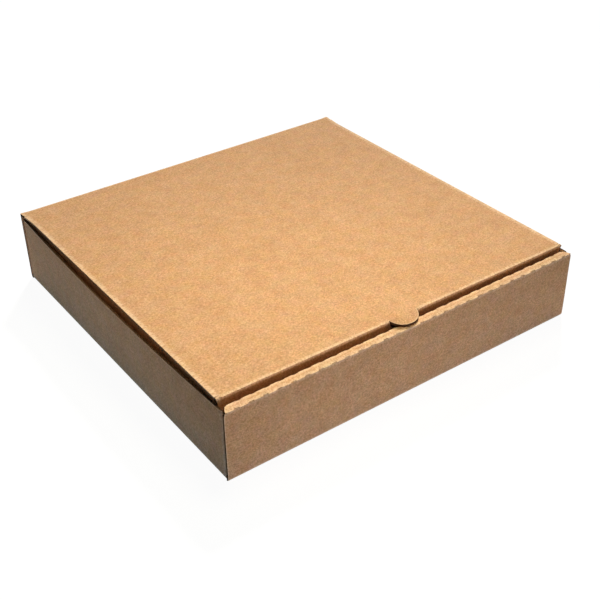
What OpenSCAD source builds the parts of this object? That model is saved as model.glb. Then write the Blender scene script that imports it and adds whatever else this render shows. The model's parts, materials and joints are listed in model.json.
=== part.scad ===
// Pizza box folded from one die-cut sheet of corrugated board.
// The tray has a roll-over front wall that traps the side walls' front ears, and
// the lid hangs on the fold at the top of the back wall, with its flaps tucked inside.
// X runs across the box, the front faces -Y, and the tray stands on z = 0.

/* [Box] */
// Outside width over the front wall
box_w = 258; // [200:1:420]
// Outside depth from the front wall to the back wall
box_d = 254; // [200:1:420]
// Outside height with the lid closed
box_h = 50.5; // [42:0.5:70]

/* [Board] */
// Thickness of the corrugated board
board_t = 1.5; // [1.2:0.1:2]
// Air left between layers of board that lie side by side
layer_gap = 0.3; // [0.2:0.05:0.5]

/* [Front wall] */
// Drop from the lid's top to the top of the front wall
front_drop = 2.8; // [2.2:0.1:6]
// Space between each end of the inner layer and the side wall
roll_end_gap = 1.8; // [1.4:0.1:4]
// Pitch of the perforations along the two roll-over folds
perf_pitch = 9; // [6:0.5:14]
// Length of each perforation cut
perf_cut = 6; // [2:0.5:6]
// Width of each lock tab at the foot of the inner layer
lock_w = 36; // [20:1:60]
// Distance from the box's side to the middle of each lock tab
lock_inset = 62; // [40:1:80]
// Clearance around a lock tab in its floor slot
lock_gap = 0.25; // [0.15:0.05:0.5]
// Slope along each side of a lock tab, so that it finds its slot
lock_lead = 1.2; // [0.4:0.1:3]

/* [Side walls] */
// Drop from the lid's top to the top of a side wall
side_drop = 3.5; // [2.5:0.1:8]
// How far a side wall bows outwards half way along its top edge
side_bow = 2.8; // [0:0.1:6]
// Reach of each ear from the corner fold
ear_reach = 58; // [30:1:80]
// Straight length of a side wall next to each corner fold
bow_lead = 6; // [2:1:12]
// Slope at the free end of each ear
ear_slope = 12; // [4:1:20]
// Clearance below each ear, and above the front ones
ear_clear = 1.2; // [0.6:0.1:3]

/* [Lid] */
// Space between the lid's side folds and the side walls
lid_side_gap = 0.5; // [0.4:0.1:2]
// Distance from the front wall's face back to the lid's front fold
lid_setback = 8.2; // [8:0.1:14]
// Play between the lid's hinge fold and the back wall
hinge_gap = 0.3; // [0.2:0.05:0.6]
// Depth of the front tuck flap below the lid's top
front_flap_h = 32; // [20:1:34]
// Depth of each side flap below the lid's top
side_flap_h = 36; // [20:1:37]
// Slope along each end of a flap
flap_slope = 9; // [3:1:14]
// Distance from a side flap's rear end to the tray's rear ear
flap_end_gap = 3; // [2:0.5:8]
// Radius on the free corners of flaps and ears
corner_r = 5; // [1:0.5:8]

/* [Thumb tab] */
// Width of the thumb tab across the lid's front fold
thumb_w = 20.4; // [14:0.2:30]
// Reach of the thumb tab past the lid's front fold
thumb_reach = 8; // [5:0.2:8]
// Width of the die cut between the thumb tab and the front flap
thumb_cut = 0.4; // [0.2:0.1:1]

/* [Hidden] */
$fn = 48;

// Board colour
kraft = "#cf9f68";
// Straight pieces along a bowed wall, and along a rounded corner
bow_steps = 24;
arc_steps = 6;

half_t = board_t / 2;
half_w = box_w / 2;
half_d = box_d / 2;

// Middle layers of the panels, which are the centre lines of the folds
floor_z = half_t;
side_x = half_w - half_t;
front_y = half_t - half_d;
back_y = half_d - half_t;
layer_step = board_t + layer_gap;
front_ear_y = front_y + layer_step;
inner_y = front_ear_y + layer_step;
rear_ear_y = back_y - layer_step;
roll_z = box_h - front_drop - half_t;
lid_z = box_h - half_t;
lid_x = half_w - board_t - lid_side_gap - half_t;
lid_front_y = lid_setback - half_d + half_t;

// Free edges
side_top = box_h - side_drop;
back_top = box_h - board_t - hinge_gap;
inner_end = half_w - board_t - roll_end_gap;
ear_foot = board_t + ear_clear;
front_ear_top = roll_z - half_t - ear_clear;
inner_foot = board_t + lock_gap;
foot_strip = 2 * board_t;
flap_root = 2 * board_t;
rear_flap_end = rear_ear_y - half_t - flap_end_gap;

// Circle that the thumb tab is cut along
thumb_depth = thumb_reach + half_t;
thumb_r = (thumb_w * thumb_w / 4 + thumb_depth * thumb_depth) / (2 * thumb_depth);
thumb_rise = thumb_r - thumb_depth;

// Unit vector along v
function unit(v) = v / norm(v);

// Points of an arc of radius r that rounds the corner at b between a and c
function corner_arc(a, b, c, r) =
    let (u = unit(a - b),
         v = unit(c - b),
         half = acos(u * v) / 2,
         centre = b + unit(u + v) * r / sin(half),
         from = b + u * r / tan(half) - centre,
         to = b + v * r / tan(half) - centre)
    [for (i = [0 : arc_steps])
        let (s = i / arc_steps, w = from * (1 - s) + to * s)
        centre + unit(w) * r];

// Flap that reaches depth past a fold on y = 0, from x = left to x = right: straight
// next to the fold, then with sloping ends and rounded free corners
function flap_outline(left, right, depth, slope) =
    let (root_left = [left, flap_root],
         root_right = [right, flap_root],
         free_left = [left + slope, depth],
         free_right = [right - slope, depth])
    concat([[left, 0], root_left],
           corner_arc(root_left, free_left, free_right, corner_r),
           corner_arc(free_left, free_right, root_right, corner_r),
           [root_right, [right, 0]]);

// A panel of board cut to a flat outline, its middle layer on z = 0
module board() {
    translate([0, 0, -half_t]) linear_extrude(board_t) children();
}

// A panel that stands across the box at y, its outline drawn in x and z
module cross_panel(y) {
    translate([0, y, 0]) rotate([90, 0, 0]) board() children();
}

// A panel that stands along the box at x, its outline drawn in y and z
module long_panel(x) {
    translate([x, 0, 0]) rotate([90, 0, 90]) board() children();
}

// The round outside of a fold across the box, from x = left to x = right
module cross_fold(left, right, y, z) {
    translate([left, y, z]) rotate([0, 90, 0]) cylinder(d = board_t, h = right - left);
}

// The round outside of a fold along the box, from y = front to y = back
module long_fold(x, front, back, z) {
    translate([x, front, z]) rotate([-90, 0, 0]) cylinder(d = board_t, h = back - front);
}

// The round outside of an upright fold, from z = foot to z = top
module upright_fold(x, y, foot, top) {
    translate([x, y, foot]) cylinder(d = board_t, h = top - foot);
}

// Both sides of the box
module both_sides() {
    children();
    mirror([1, 0, 0]) children();
}

// Rectangle from one corner to the opposite one
module plate(low, high) {
    translate(low) square(high - low);
}

// Floor with the slots that take the lock tabs
module floor_panel() {
    slot_x = lock_w / 2 + lock_gap;
    slot_y = half_t + lock_gap;
    translate([0, 0, floor_z]) board() difference() {
        plate([-side_x, front_y], [side_x, back_y]);
        both_sides()
            translate([half_w - lock_inset, inner_y]) plate([-slot_x, -slot_y], [slot_x, slot_y]);
    }
}

// Back wall, up to the play under the lid's hinge fold
module back_wall() {
    cross_panel(back_y) plate([-half_w, floor_z], [half_w, back_top]);
    cross_fold(-half_w, half_w, back_y, floor_z);
}

// Square corners where perforation cuts keep a roll-over fold from rounding
module perforations(reach, y, side) {
    count = floor((2 * reach - perf_cut) / perf_pitch) + 1;
    first = -((count - 1) * perf_pitch + perf_cut) / 2;
    low_y = side < 0 ? y - half_t : y;
    for (i = [0 : count - 1])
        translate([first + i * perf_pitch, low_y, roll_z]) cube([perf_cut, half_t, half_t]);
}

// Top of the roll-over, narrower along its inner fold than along its outer one
module roll_top() {
    translate([0, 0, roll_z]) board()
        polygon([[-half_w, front_y], [half_w, front_y], [inner_end, inner_y], [-inner_end, inner_y]]);
}

// Foot of the inner layer's outline: a tab that passes through the floor
module lock_tab() {
    foot = lock_w / 2;
    translate([half_w - lock_inset, 0])
        polygon([[-foot, inner_foot], [lock_lead - foot, 0], [foot - lock_lead, 0], [foot, inner_foot]]);
}

// Front wall: outer layer, top and inner layer, with the space for the ears between
module front_wall() {
    cross_panel(front_y) plate([-half_w, floor_z], [half_w, roll_z]);
    cross_fold(-half_w, half_w, front_y, floor_z);
    cross_fold(-half_w, half_w, front_y, roll_z);
    perforations(half_w, front_y, -1);
    roll_top();
    cross_fold(-inner_end, inner_end, inner_y, roll_z);
    perforations(inner_end, inner_y, 1);
    cross_panel(inner_y) {
        plate([-inner_end, inner_foot], [inner_end, roll_z]);
        both_sides() lock_tab();
    }
}

// Outward lean of a side wall's top edge, a share along it from front to back
function bow_at(share) = side_bow * 4 * share * (1 - share);

// Section of the right-hand side wall at y: a strip of floor, the round outside
// of the fold, and the wall itself, leaning out at its top
function wall_section(y, lean) = concat(
    [[half_w - foot_strip, y, board_t], [half_w - foot_strip, y, 0]],
    [for (i = [0 : arc_steps])
        let (turn = 90 * i / arc_steps)
        [side_x + half_t * sin(turn), y, floor_z - half_t * cos(turn)]],
    [[half_w + lean, y, side_top], [half_w + lean - board_t, y, side_top],
     [half_w - board_t, y, board_t]]);

// Right-hand side wall with its fold: straight next to the corners, bowed between
module bowed_panel() {
    front = front_ear_y + bow_lead;
    length = rear_ear_y - bow_lead - front;
    rows = concat(
        [wall_section(front_ear_y, 0)],
        [for (i = [0 : bow_steps])
            let (share = i / bow_steps)
            wall_section(front + share * length, bow_at(share))],
        [wall_section(rear_ear_y, 0)]);
    points = [for (row = rows) each row];
    corners = len(rows[0]);
    last = (len(rows) - 1) * corners;
    skin = [for (i = [0 : len(rows) - 2], k = [0 : corners - 1])
        let (a = i * corners + k, b = i * corners + (k + 1) % corners)
        each [[a, b, a + corners], [b, b + corners, a + corners]]];
    ends = [[for (k = [corners - 1 : -1 : 0]) k], [for (k = [0 : corners - 1]) last + k]];
    polyhedron(points = points, faces = concat(skin, ends));
}

// Right-hand ear on one end of a side wall, from the corner fold inwards
module ear(y, top) {
    cross_panel(y) translate([side_x, ear_foot]) rotate([0, 0, 90])
        polygon(flap_outline(0, top - ear_foot, ear_reach, ear_slope));
    upright_fold(side_x, y, ear_foot, top);
}

// Right-hand side wall with its folds and ears
module side_wall() {
    bowed_panel();
    ear(front_ear_y, front_ear_top);
    ear(rear_ear_y, side_top);
}

// Tray: everything that stays put when the lid opens
module base_tray() {
    color(kraft) {
        floor_panel();
        back_wall();
        front_wall();
        both_sides() side_wall();
    }
}

// Circle of the thumb tab, on a fold line at y = 0 with the tab towards -y
module thumb_circle(margin) {
    translate([0, thumb_rise]) circle(r = thumb_r + margin);
}

// Top panel of the lid, with the thumb tab left standing past the front fold
module lid_panel() {
    translate([0, 0, lid_z]) board() {
        plate([-lid_x, lid_front_y], [lid_x, back_y]);
        translate([0, lid_front_y]) thumb_circle(0);
    }
    cross_fold(-lid_x, lid_x, back_y, lid_z);
}

// Front tuck flap, with the opening that the thumb tab was cut from
module front_flap() {
    flap_x = lid_x + half_t;
    thumb_end = thumb_w / 2 + thumb_cut;
    translate([0, 0, lid_z]) cross_panel(lid_front_y) difference() {
        mirror([0, 1]) polygon(flap_outline(-flap_x, flap_x, front_flap_h - half_t, flap_slope));
        thumb_circle(thumb_cut);
    }
    both_sides() cross_fold(thumb_end, flap_x, lid_front_y, lid_z);
}

// Right-hand side flap, from just behind the front flap to just ahead of the rear ear
module side_flap() {
    front_end = lid_front_y + layer_step - half_t;
    translate([0, 0, lid_z]) long_panel(lid_x) mirror([0, 1])
        polygon(flap_outline(front_end, rear_flap_end, side_flap_h - half_t, flap_slope));
    long_fold(lid_x, front_end, rear_flap_end, lid_z);
}

// Lid: top panel and the flaps folded down from it, turning on its rear fold
module lid() {
    color(kraft) {
        lid_panel();
        front_flap();
        both_sides() side_flap();
    }
}

base_tray();
lid();
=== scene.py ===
"""Kraft pizza box, folded in code from its two die-cut blanks.

Each blank is drawn flat, in sheet coordinates: u across, v from front to back and w
through the board, towards the outside of the box. A fold map then carries the sheet
into the box, so panels, folds, cut edges and flutes all come from one outline.
"""

import json
import math

import bpy
import numpy as np
from bpy.props import FloatProperty, FloatVectorProperty, PointerProperty
from mathutils import Matrix, Vector
from mathutils.geometry import delaunay_2d_cdt


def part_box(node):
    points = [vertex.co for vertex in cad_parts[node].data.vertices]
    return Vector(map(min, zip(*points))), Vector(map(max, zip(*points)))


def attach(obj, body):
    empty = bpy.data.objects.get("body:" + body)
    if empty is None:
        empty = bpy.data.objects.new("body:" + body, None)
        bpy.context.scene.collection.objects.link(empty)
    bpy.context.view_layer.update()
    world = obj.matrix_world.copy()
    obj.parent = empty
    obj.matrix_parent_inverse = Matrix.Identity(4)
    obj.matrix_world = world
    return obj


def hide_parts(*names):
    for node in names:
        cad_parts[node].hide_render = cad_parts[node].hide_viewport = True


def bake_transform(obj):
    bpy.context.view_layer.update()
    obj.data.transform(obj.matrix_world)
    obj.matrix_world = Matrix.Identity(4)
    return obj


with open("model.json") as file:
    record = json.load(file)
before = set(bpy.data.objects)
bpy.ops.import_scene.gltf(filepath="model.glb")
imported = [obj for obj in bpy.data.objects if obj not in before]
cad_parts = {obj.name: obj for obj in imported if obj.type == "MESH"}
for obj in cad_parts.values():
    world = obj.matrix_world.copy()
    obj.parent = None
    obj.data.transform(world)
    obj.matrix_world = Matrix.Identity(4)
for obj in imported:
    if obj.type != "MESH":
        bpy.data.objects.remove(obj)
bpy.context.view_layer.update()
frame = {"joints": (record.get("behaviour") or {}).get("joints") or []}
TRAY_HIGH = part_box("base_tray")[1]
LID_LOW, LID_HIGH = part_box("lid")
HINGE = Vector(frame["joints"][0]["pos_m"])

bl_info = {
    "name": "Kraft pizza box",
    "version": (1, 0, 0),
    "blender": (4, 5, 0),
    "location": "3D View > Sidebar > Pizza Box",
    "description": "Folds a corrugated pizza box from its blanks and sets it on a plain stage",
    "category": "Object",
}

# Slack in metres for points that lie on a line of the sheet
TOLERANCE = 1e-6
# Guard for divisions by a length, and least area of a triangle that is kept
TINY = 1e-9
TINY_AREA = 1e-14

# Waves that make a panel uneven: radians per metre along u and along v, and phase
BROAD_WAVES = ((31, 0, 0.6), (0, 27, 1.1))
FINE_WAVES = ((74, 41, 2.0), (-37, 88, 0.4))
BROAD_SHARE = 0.6
FINE_SHARE = 0.2

# Step of the sine that makes the lips of a perforation differ
LIP_TURN = 2.4

# Points to a round corner and to the thumb tab's cut
CORNER_STEPS = 6
THUMB_STEPS = 40

# Grid lines across a fold, and how far the others stay away from it, in fold reaches
FOLD_LINES = (-1.5, -1, -0.75, -0.5, -0.25, 0, 0.25, 0.5, 0.75, 1, 1.5)
FOLD_CLEAR = 1.6

# Perforated folds: points to a pitch, rows to a fold reach, and extra rows beside the line
PERF_POINTS = 24
PERF_ROWS = 6
PERF_EDGE = 0.08

# How far grid points and ring points stay from the cut edges, in edge rings
GRID_CLEAR = 1.5
RING_CLEAR = 0.95
# Where the rows along a fold are tested against the cut edges
ROW_SHARES = (0.25, 0.5, 0.75)

# The mesher works in millimetres, and joins points that are closer than this
MESH_SCALE = 1000.0
MESH_JOIN = 1e-4

# Layers of paper fibres: turn and shift of each, and how far the fibres are drawn out
FIBRE_LAYERS = ((0.25, 1.3), (-0.7, 4.1), (1.2, 7.7))
FIBRE_STRETCH = (0.38, 1.0, 1.0)

# Numbers of the Mix node's sockets for colours: two inputs and the result
MIX_COLOURS = (6, 7)
MIX_RESULT = 2

BLACK = (0.0, 0.0, 0.0)
WHITE = (1.0, 1.0, 1.0)


# Settings

def length(name, description, default):
    """A size in metres that a user may change."""
    return FloatProperty(
        name=name, description=description, default=default, min=0.0, precision=5, unit="LENGTH")


def share(name, description, default):
    """A factor from 0 to 1."""
    return FloatProperty(
        name=name, description=description, default=default, min=0.0, max=1.0, subtype="FACTOR")


def amount(name, description, default):
    """A plain value of 0 or more."""
    return FloatProperty(name=name, description=description, default=default, min=0.0)


def angle(name, description, degrees):
    """An angle, given in degrees."""
    return FloatProperty(
        name=name, description=description, default=math.radians(degrees), subtype="ANGLE")


def colour(name, description, default):
    """A linear colour."""
    return FloatVectorProperty(
        name=name, description=description, default=default, size=3, min=0.0, max=1.0,
        subtype="COLOR")


def point(name, description, default):
    """A place in metres."""
    return FloatVectorProperty(
        name=name, description=description, default=default, size=3, subtype="XYZ", unit="LENGTH")


class BoardSettings(bpy.types.PropertyGroup):
    """The corrugated board and how it folds."""

    thickness: length("Thickness", "Thickness of the board", 0.0015)
    layer_gap: length("Layer gap", "Air between layers that lie side by side", 0.0003)
    liner: length("Liner", "Thickness of each flat liner", 0.00024)
    flute_pitch: length("Flute pitch", "Distance from one flute to the next", 0.0036)
    flute_paper: length("Flute paper", "Thickness of the fluted middle layer", 0.0002)
    flute_step: length("Flute step", "Spacing of points along a flute's wave", 0.00034)
    flute_depth: length("Flute depth", "Width of the fluted paper along a cut edge", 0.0036)
    flute_setback: length("Flute setback", "From a cut edge to the middle of that paper", 0.00198)
    fold_reach: length("Fold reach", "Length of board that curves on each side of a fold", 0.0013)
    fold_sharpness: share("Fold sharpness", "Lid: from a round fold to a mitred one", 0.93)
    corner_sharpness: share("Corner sharpness", "The same for the folds of the tray", 0.1)
    # Width of the pale band along each fold: partly crease wear, partly a painted highlight.
    crease_and_highlight_width: length("Crease width", "Distance from a fold to where its crease fades", 0.00208)
    smooth_angle: angle("Smooth angle", "Angle from which faces meet in a hard edge", 38.0)
    edge_depth: length("Edge depth", "How far the cut edges are open between the liners", 0.004)
    edge_crush: length("Edge crush", "How far a die cut presses each liner in", 0.00008)
    edge_ring: length("Edge ring", "Distance from the cut edges to the first row of points", 0.0009)
    edge_step: length("Edge step", "Least distance between points along an outline", 0.0001625)
    # Die-cut edges turn pale: partly wear, partly a painted highlight along the edges.
    edge_wear_and_highlight: share("Edge wear", "How pale the liners turn along a die cut", 1.0)
    panel_step: length("Panel step", "Spacing of points over a panel", 0.006)
    warp: length("Warp", "How far panels stray from flat", 0.00022)
    lid_fade: length("Lid fade", "Distance from the lid's edges to its full warp", 0.024)
    wall_fade: share("Wall fade", "The same on the front wall, as a share of its height", 0.25)


class TraySettings(bpy.types.PropertyGroup):
    """The tray's walls, ears and locks."""

    front_drop: length("Front drop", "From the lid's top to the front wall's top", 0.0028)
    roll_end_gap: length("Roll-over gap", "From the inner layer's end to the side wall", 0.0018)
    perf_pitch: length("Perforation pitch", "Spacing of cuts along the roll-over folds", 0.009)
    perf_cut: length("Perforation cut", "Length of each cut", 0.006)
    perf_end: length("Perforation end", "Length over which a cut's lip rises and falls", 0.000375)
    perf_lip: length("Perforation lip", "How far the paper stands out along a cut", 0.0007)
    lip_uneven: share("Lip unevenness", "How much the lips differ from cut to cut", 0.2)
    lip_root: share("Lip root", "Share of the fold's reach over which a lip rises", 0.35)
    land_sharpness: share("Land sharpness", "Sharpness of the fold between the cuts", 0.55)
    cut_sharpness: share("Cut sharpness", "Sharpness of the fold along the cuts", 0.95)
    lock_width: length("Lock width", "Width of each lock tab", 0.036)
    lock_inset: length("Lock inset", "From the box's side to a lock tab's middle", 0.062)
    lock_gap: length("Lock gap", "Clearance around a lock tab", 0.00025)
    lock_lead: length("Lock lead", "Slope along each side of a lock tab", 0.0012)
    side_drop: length("Side drop", "From the lid's top to a side wall's top", 0.0035)
    side_bow: length("Side bow", "How far a side wall's top edge bows out", 0.0028)
    bow_lead: length("Bow lead", "Straight length next to each corner", 0.006)
    corner_gape: share("Corner gape", "How much rounder the corner folds are at their top", 1.0)
    ear_reach: length("Ear reach", "Length of each ear", 0.058)
    ear_slope: length("Ear slope", "Slope at an ear's free end", 0.012)
    ear_clear: length("Ear clearance", "Clearance below the ears and above the front ones", 0.0012)


class LidSettings(bpy.types.PropertyGroup):
    """The lid, its flaps and its thumb tab."""

    side_gap: length("Side gap", "From the lid's side folds to the side walls", 0.0005)
    setback: length("Setback", "From the front wall's face to the lid's front fold", 0.0082)
    front_flap: length("Front flap", "Depth of the front flap below the lid's top", 0.032)
    side_flap: length("Side flaps", "Depth of the side flaps below the lid's top", 0.036)
    flap_slope: length("Flap slope", "Slope along the ends of the flaps", 0.009)
    flap_end_gap: length("Flap end gap", "From a side flap to the rear ear", 0.003)
    flap_relief: length("Flap relief", "Width of the cuts at the ends of the side flaps", 0.00025)
    flap_lean: angle("Flap lean", "How far the flaps lean in under the lid", 5.0)
    fold_bulge: length("Fold bulge", "How far the board swells out at the lid's side folds", 0.0007)
    rear_flare: length("Rear flare", "Length over which the lid widens towards the hinge", 0.018)
    skew: angle("Skew", "How far the lid's front fold is out of square", 0.3)
    corner_radius: length("Corner radius", "Radius on free corners of flaps and ears", 0.005)
    thumb_width: length("Thumb width", "Width of the thumb tab", 0.0204)
    thumb_reach: length("Thumb reach", "Reach of the thumb tab past the front fold", 0.0072)
    thumb_shift: length("Thumb shift", "How far the thumb tab sits left of the middle", 0.002)
    thumb_droop: length("Thumb droop", "How far the thumb tab's tip hangs below the lid", 0.0009)
    thumb_cut: length("Thumb cut", "Width of the cut around the thumb tab", 0.0004)
    thumb_start: length("Thumb start", "From the front fold back to the ends of that cut", 0.000325)
    hinge_strip: length("Hinge strip", "Board below the hinge fold that bends with it", 0.003)
    hinge_blend: length("Hinge blend", "From the hinge fold to where the strip is stiff", 0.00052)


class FinishSettings(bpy.types.PropertyGroup):
    """Colours of the board and of its fibres."""

    light_kraft: colour("Light kraft", "Palest tone of the liners", (0.90, 0.54, 0.275))
    dark_kraft: colour("Dark kraft", "Deepest tone of the liners", (0.57, 0.285, 0.105))
    fleck: colour("Fleck", "Dark flecks in the liners", (0.20, 0.10, 0.042))
    # Pale colour of creases and cut edges: partly stretched fibres and wear, partly a painted
    # highlight.
    crease_and_highlight: colour("Crease", "Stretched fibres along the folds", (1.0, 0.69, 0.40))
    # Colour of cut edges: the board's own edge colour, darkened as painted shade of the open flutes.
    raw_edge_and_shade: colour("Raw edge", "Cut edges of the liners and flutes", (0.27, 0.15, 0.072))
    liner_fibres: amount("Liner fibres", "Fineness of the fibres in the liners", 1500.0)
    edge_fibres: amount("Edge fibres", "Fineness of the fibres in the cut edges", 2200.0)
    fleck_strength: share("Fleck strength", "How strongly the flecks show", 0.22)
    # Part of the same pale crease colour: partly wear, partly a painted highlight.
    crease_and_highlight_base: share("Crease base", "How pale a crease is on the darkest fibres", 0.3)
    hue_drift: share("Hue drift", "Range of hue between clumps of fibres", 0.036)
    strength_drift: share("Strength drift", "Range of colour strength between clumps", 0.22)
    value_drift: share("Value drift", "Range of brightness between clumps", 0.40)
    least_rough: share("Least roughness", "Roughness of the darkest fibres", 0.72)
    most_rough: share("Most roughness", "Roughness of the palest fibres", 0.86)
    flute_print: share("Flute print", "How strongly the flutes show through the liners", 0.25)


class StageSettings(bpy.types.PropertyGroup):
    """Camera, floor and lights."""

    azimuth: angle("Azimuth", "Camera's angle round the box", -35.476)
    elevation: angle("Elevation", "Camera's angle above the floor", 34.048)
    roll: angle("Roll", "Camera's turn about its own axis", -0.916)
    distance: length("Distance", "From the camera to the point that it looks at", 0.65393)
    focal_length: amount("Focal length", "Camera's focal length in millimetres", 61.649)
    look_at: point("Look at", "Point in the middle of the image", (-0.01396, -0.03371, 0.020))
    floor_size: length("Floor size", "Width of the floor", 12.0)
    floor_drop: length("Floor drop", "How far the floor lies below the box", 0.0002)
    floor_pool: length("Floor pool", "Radius of the lit floor round the box", 0.34)
    pool_falloff: amount("Pool falloff", "How abruptly the lit floor ends", 4.0)
    floor_centre: point("Floor centre", "Middle of the lit floor", (0.0, 0.05, 0.0))
    floor_bounce: colour("Floor bounce", "Floor as the box's walls see it", (0.66, 0.62, 0.60))
    floor_glow: colour("Floor glow", "Light from the floor round the box", (0.10, 0.23, 0.44))
    floor_shade: share("Floor shade", "How strongly the camera sees the box's shadow", 0.13)
    floor_white: amount("Floor white", "The floor's own light towards the camera", 0.9485)
    key_towards: FloatVectorProperty(
        name="Key towards", description="Direction from the box to the key light", size=3,
        default=(0.85, 0.85, 1.0), subtype="XYZ")
    key_spread: angle("Key spread", "Softness of the key light", 9.0)
    key_strength: amount("Key strength", "Strength of the key light", 2.97)
    key_colour: colour("Key colour", "Colour of the key light", (0.985, 0.92, 0.87))
    lamp_place: point("Lamp place", "Middle of the lamp above the box", (-0.03, -0.08, 0.31))
    lamp_size: length("Lamp size", "Width of the lamp above the box", 0.10)
    lamp_power: amount("Lamp power", "Watts of the lamp", 0.34)
    lamp_colour: colour("Lamp colour", "Colour of the lamp", (1.0, 0.93, 0.68))
    card_place: point("Card place", "Middle of the reflector card in front", (-0.035, -0.34, 0.014))
    card_width: length("Card width", "Width of the reflector card", 0.32)
    card_height: length("Card height", "Height of the reflector card", 0.014)
    card_power: amount("Card power", "Watts from the card", 0.165)
    card_colour: colour("Card colour", "Colour of the reflector card", (1.0, 0.90, 0.96))
    sky: colour("Sky", "Light from all round", (0.025, 0.042, 0.062))


class PizzaBoxSettings(bpy.types.PropertyGroup):
    """Everything that can be set on the pizza box."""

    board: PointerProperty(type=BoardSettings)
    tray: PointerProperty(type=TraySettings)
    lid: PointerProperty(type=LidSettings)
    finish: PointerProperty(type=FinishSettings)
    stage: PointerProperty(type=StageSettings)


# Fold lines

class FoldPlan:
    """Fold lines and free edges, worked out from the settings and the frame."""

    def __init__(self, settings):
        board, tray, lid = settings.board, settings.tray, settings.lid
        self.board, self.tray, self.lid = board, tray, lid
        self.half_t = half_t = board.thickness / 2
        self.reach = board.fold_reach
        layer_step = board.thickness + board.layer_gap
        height = LID_HIGH.z
        self.half_w = (LID_HIGH.x - LID_LOW.x) / 2 + board.thickness + lid.side_gap
        self.half_d = TRAY_HIGH.y

        # Middle layers of the panels
        self.floor_z = half_t
        self.side_x = self.half_w - half_t
        self.front_y = half_t - self.half_d
        self.back_y = HINGE.y
        self.front_ear_y = self.front_y + layer_step
        self.inner_y = self.front_ear_y + layer_step
        self.rear_ear_y = self.back_y - layer_step
        self.roll_z = height - tray.front_drop - half_t
        self.lid_z = HINGE.z
        self.lid_x = self.half_w - board.thickness - lid.side_gap - half_t
        self.lid_front_y = lid.setback - self.half_d + half_t

        # Free edges
        self.side_top = height - tray.side_drop
        self.inner_end = self.half_w - board.thickness - tray.roll_end_gap
        self.ear_foot = board.thickness + tray.ear_clear
        self.front_ear_top = self.roll_z - half_t - tray.ear_clear
        self.inner_foot = board.thickness + tray.lock_gap
        self.flap_root = 2 * board.thickness
        self.flap_rear = self.rear_ear_y - half_t - lid.flap_end_gap
        self.seam_z = self.lid_z - lid.hinge_strip
        self.seam_y = self.back_y - self.reach

        # Roll-over folds on the flat sheet, measured forwards from the front fold
        self.outer_run = self.roll_z - self.floor_z
        self.top_run = self.inner_y - self.front_y
        self.roll_v = self.front_y - self.outer_run
        self.inner_v = self.roll_v - self.top_run
        self.tray_folds = [
            self.front_y, self.front_ear_y, self.rear_ear_y, self.back_y, self.inner_v, self.roll_v]

        # Circle that the thumb tab is cut along
        depth = lid.thumb_reach + half_t
        self.thumb_r = (lid.thumb_width ** 2 / 4 + depth ** 2) / (2 * depth)
        self.thumb_v = self.lid_front_y + self.thumb_r - depth


def bend(q, w, reach, sharp):
    """A quarter turn of the board at q = 0, as (forwards, sideways) of the turn.

    The board runs forwards until q = -reach and sideways from q = reach. In between
    its layers follow arcs, drawn towards a mitred corner as sharp goes to 1.
    """
    turn = (np.clip(q / reach, -1, 1) + 1) * math.pi / 4
    radius = reach + w
    sine, cosine = np.sin(turn), np.cos(turn)
    first = turn <= math.pi / 4
    larger = np.maximum(sine, cosine)
    mitre_on = np.where(first, radius * sine / larger - reach, w)
    mitre_off = np.where(first, -w, reach - radius * cosine / larger)
    arc_on = radius * sine - reach
    arc_off = reach - radius * cosine
    onward = arc_on + (mitre_on - arc_on) * sharp
    aside = arc_off + (mitre_off - arc_off) * sharp
    onward = np.where(q < -reach, q, np.where(q > reach, w, onward))
    aside = np.where(q < -reach, -w, np.where(q > reach, q, aside))
    return onward, aside


def smooth(value):
    """Smooth step from 0 to 1."""
    t = np.clip(value, 0, 1)
    return t * t * (3 - 2 * t)


def waviness(u, v, size):
    """Gentle unevenness of a panel, up to about size."""
    def wave(along_u, along_v, phase):
        """One wave across the panel."""
        return np.sin(u * along_u + v * along_v + phase)

    broad = math.prod(wave(*each) for each in BROAD_WAVES)
    fine = sum(wave(*each) for each in FINE_WAVES)
    return size * (BROAD_SHARE * broad + FINE_SHARE * fine)


def perforation(tray, u, reach):
    """1 or a little less along the cuts of a perforated fold, 0 on the lands between them."""
    pitch, cut, end = tray.perf_pitch, tray.perf_cut, tray.perf_end
    count = math.floor((2 * reach - cut) / pitch) + 1
    first = -((count - 1) * pitch + cut) / 2
    along = (u - first) % pitch
    edge = np.minimum(along, cut - along)
    within = (u > first - end) & (u < -first + end)
    uneven = 1 - tray.lip_uneven * (1 - np.sin(np.floor((u - first) / pitch) * LIP_TURN))
    return np.where(within, smooth(edge / end + 1 / 2) * uneven, 0.0)


def rolled(plan, u, q, w, reach, lip):
    """Turn of a perforated fold: crisp and lipped along the cuts, rounder between them."""
    tray = plan.tray
    cut = perforation(tray, u, reach)
    sharp = tray.land_sharpness + (tray.cut_sharpness - tray.land_sharpness) * cut
    on, aside = bend(q, w, plan.reach, sharp)
    before = smooth(1 + q / (plan.reach * tray.lip_root))
    after = 1 - smooth(q / plan.reach)
    shape = lip * cut * np.where(q < 0, before, after)
    return on, np.where(w > 0, aside - shape, aside)


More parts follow.
